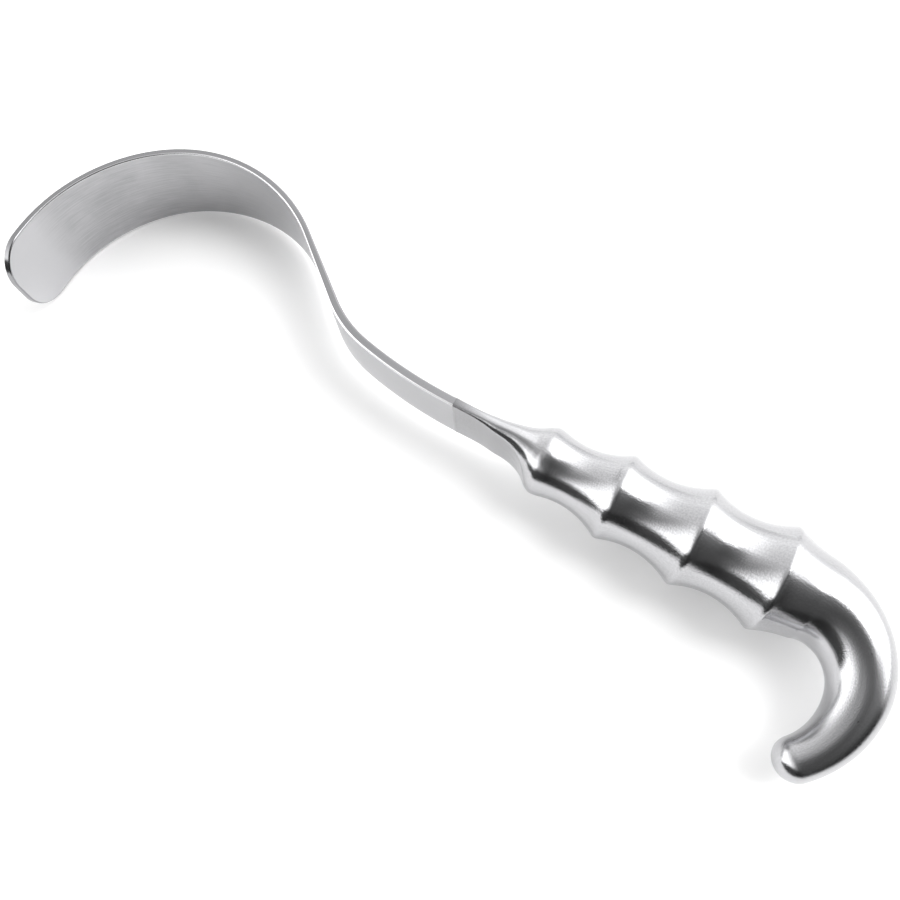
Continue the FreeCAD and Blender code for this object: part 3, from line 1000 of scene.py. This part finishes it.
@dataclass
class Surroundings:
    """What the steel mirrors: two soft boxes, one with a lamp, a pale wall and a dim room."""

    # Light by the angle from straight up: the front is below 0, the wall behind above it.
    wall: Stations = (
        (-90.0, 0.06), (-58.0, 0.10), (-50.0, 0.28), (-22.0, 0.38), (-6.0, 0.60), (15.0, 1.05),
        (40.0, 1.25), (62.0, 1.55), (76.0, 1.5), (85.0, 1.2), (90.0, 0.8))
    brightest_wall: float = 2.0
    boxes: tuple[Area, ...] = (
        Area("key soft box", (
            Edge(0.0, -30.0, 26.0), Edge(180.0, -77.0, -72.0), Edge(90.0, 2.0, 24.0),
            Edge(-90.0, -72.0, -56.0)), 2.05),
        Area("lamp in the key soft box", (
            Edge(0.0, 10.0, 20.0), Edge(180.0, -42.0, -32.0), Edge(90.0, 6.0, 16.0),
            Edge(-90.0, -38.0, -28.0)), 6.5),
        Area("fill soft box", (
            Edge(0.0, -86.0, -70.0), Edge(90.0, -57.0, -49.0), Edge(-135.0, 20.0, 62.0),
            Edge(-90.0, -24.0, -6.0)), 2.4),
    )
    shades: tuple[Area, ...] = (
        Area("dim right side", (Edge(0.0, -8.0, 34.0), Edge(-90.0, -30.0, -2.0)), 0.64),
        Area("dark right side, low", (Edge(0.0, 50.0, 80.0), Edge(-90.0, -14.0, 4.0)), 0.8),
        Area("dim far left", (Edge(180.0, 52.0, 62.0), Edge(90.0, 14.0, 32.0)), 0.72),
        Area("camera stand", (
            Edge(0.0, -8.0, 8.0), Edge(180.0, -38.0, -22.0), Edge(90.0, -40.0, -15.0),
            Edge(-90.0, -14.0, 0.0)), 0.45),
    )

    def build(self) -> bpy.types.World:
        """Makes the world from the direction that is looked in.

        Returns:
            The world.
        """
        world = bpy.data.worlds.new("studio")
        world.use_nodes = True
        tree = world.node_tree
        tree.nodes.clear()
        direction = add_node(tree, "ShaderNodeTexCoord").outputs["Generated"]
        parts = add_node(tree, "ShaderNodeSeparateXYZ", inputs={0: direction})
        tilt = add_node(tree, "ShaderNodeMath", {"operation": "ARCCOSINE"}, {0: parts.outputs["Z"]})
        degrees = add_node(tree, "ShaderNodeMath", {"operation": "DEGREES"}, {0: tilt.outputs[0]})
        level = add_node(tree, "ShaderNodeCombineXYZ", inputs={
            0: parts.outputs["X"], 1: parts.outputs["Y"]})
        unit = add_node(tree, "ShaderNodeVectorMath", {"operation": "NORMALIZE"}, {
            0: level.outputs[0]})
        spot = add_node(tree, "ShaderNodeVectorMath", {"operation": "SCALE"}, {
            0: unit.outputs[0], "Scale": degrees.outputs[0]}).outputs[0]
        light = self.wall_light(tree, spot)
        for shade in self.shades:
            light = dim(tree, shade, spot, light)
        for box in self.boxes:
            light = add_node(tree, "ShaderNodeMath", {"operation": "MULTIPLY_ADD"}, {
                0: box.share(tree, spot), 1: box.strength, 2: light}).outputs[0]
        sky = add_node(tree, "ShaderNodeBackground", inputs={
            "Color": to_linear("#FFFFFF"), "Strength": light})
        add_node(tree, "ShaderNodeOutputWorld", inputs={"Surface": sky.outputs["Background"]})
        return world

    def wall_light(self, tree: Tree, spot: Socket) -> Socket:
        """Works out the light of the room from the front, through overhead, to the wall behind.

        Args:
            tree: the node tree to work in.
            spot: the direction that is looked in, as degrees from straight up.

        Returns:
            A socket with the light.
        """
        low, high = self.wall[0][0], self.wall[-1][0]
        behind = add_node(tree, "ShaderNodeSeparateXYZ", inputs={0: spot}).outputs["Y"]
        share = add_node(tree, "ShaderNodeMapRange", inputs={
            "Value": behind, "From Min": low, "From Max": high})
        node = add_node(tree, "ShaderNodeValToRGB", inputs={"Fac": share.outputs["Result"]})
        marks = node.color_ramp.elements
        marks[1].position = 1.0
        for angle, _ in self.wall[1:-1]:
            marks.new((angle - low) / (high - low))
        for mark, (_, light) in zip(marks, self.wall):
            mark.color = (light / self.brightest_wall,) * 3 + (1.0,)
        return add_node(tree, "ShaderNodeMath", {"operation": "MULTIPLY"}, {
            0: node.outputs["Color"], 1: self.brightest_wall}).outputs[0]


@dataclass
class Studio:
    """The camera, and a table of matt white laminate, which shows no shine."""

    lens: float = 31.376
    sensor: float = 36.0
    # Where the camera stands, where it aims, and which way is up in the picture.
    eye: tuple[float, float, float] = (50.4, -60.2, 195.95)
    aim: tuple[float, float, float] = (-0.214, 0.279, -0.936)
    image_up: tuple[float, float, float] = (-0.454, 0.820, 0.349)
    # In metres.
    near_clip: float = 0.01
    table_half: float = 1.5
    table_colour: str = "#F6F6F6"
    table_glow: float = 0.15
    table_shades: tuple[Area, ...] = (
        Area("beyond the front of the light", (Edge(-60.0, 0.1, 0.3),), 0.4),
        Area("beyond the right of the light", (
            Edge(-15.0, 0.14, 0.34), Edge(-85.0, -0.1, 0.1)), 0.35),
    )

    def set_camera(self) -> None:
        """Puts the camera where the photograph was taken from."""
        data = bpy.data.cameras.new("camera")
        data.lens = self.lens
        data.sensor_width = self.sensor
        data.clip_start = self.near_clip
        camera = bpy.data.objects.new("camera", data)
        back = -Vector(self.aim).normalized()
        right = Vector(self.image_up).cross(back).normalized()
        up = back.cross(right)
        turn = Matrix((right, up, back)).transposed().to_4x4()
        camera.matrix_world = Matrix.Translation(Vector(self.eye) * MM) @ turn
        bpy.context.scene.collection.objects.link(camera)
        bpy.context.scene.camera = camera

    def lay_table(self) -> None:
        """Lays a wide pale table under the tool, which glows a little where it is seen."""
        mesh = bpy.data.meshes.new("table")
        half = self.table_half
        corners = [(-half, -half, 0), (half, -half, 0), (half, half, 0), (-half, half, 0)]
        mesh.from_pydata(corners, [], [(0, 1, 2, 3)])
        table = bpy.data.objects.new("table", mesh)
        material = new_material("matt white laminate")
        tree = material.node_tree
        colour = self.table_light(tree)
        paint = add_node(tree, "ShaderNodeBsdfDiffuse", inputs={"Color": colour})
        rays = add_node(tree, "ShaderNodeLightPath")
        seen = rays.outputs["Is Camera Ray"]
        for kind in ("Is Glossy Ray", "Is Transmission Ray"):
            seen = add_node(tree, "ShaderNodeMath", {"operation": "MAXIMUM"}, {
                0: seen, 1: rays.outputs[kind]}).outputs[0]
        strength = add_node(tree, "ShaderNodeMath", {"operation": "MULTIPLY"}, {
            0: seen, 1: self.table_glow})
        glow = add_node(tree, "ShaderNodeEmission", inputs={
            "Color": colour, "Strength": strength.outputs[0]})
        both = add_node(tree, "ShaderNodeAddShader", inputs={
            0: paint.outputs[0], 1: glow.outputs[0]})
        add_node(tree, "ShaderNodeOutputMaterial", inputs={"Surface": both.outputs[0]})
        mesh.materials.append(material)
        bpy.context.scene.collection.objects.link(table)

    def table_light(self, tree: Tree) -> Socket:
        """Works out the table's tone: white, and dimmer where its near sides leave the light.

        Args:
            tree: the table's node tree.

        Returns:
            A socket with the tone.
        """
        spot = add_node(tree, "ShaderNodeTexCoord").outputs["Object"]
        light: Any = to_linear(self.table_colour)[0]
        for shade in self.table_shades:
            light = dim(tree, shade, spot, light)
        return light


def weld_place() -> Vector:
    """Finds the weld in the frame. The largest crest is round, so its height gives the axis.

    Returns:
        The middle of the weld, in metres.
    """
    low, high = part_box("handle")
    middle = (low.z + high.z) / 2
    return Vector((low.x, high.y - (high.z - low.z) / 2, middle))


def dress(piece: bpy.types.Object, node: str, material: bpy.types.Material) -> None:
    """Gives a piece its material, and has it stand for a solid of the frame.

    Args:
        piece: the mesh object.
        node: the solid's name in the frame.
        material: the finish.
    """
    piece.data.materials.append(material)
    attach(piece, ROOT)
    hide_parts(node)
    log.info("%s: %d faces, %s", piece.name, len(piece.data.polygons), material.name)


def main() -> None:
    """Builds the studio and both pieces."""
    scene = bpy.context.scene
    scene.view_settings.view_transform = "Standard"
    origin = weld_place()
    dress(BladeStrip(origin).build(), "blade", GroundSteel().build())
    dress(GripShell(origin).build(), "handle", PolishedSteel().build())
    studio = Studio()
    studio.set_camera()
    studio.lay_table()
    scene.world = Surroundings().build()


if __name__ == "__main__":
    main()
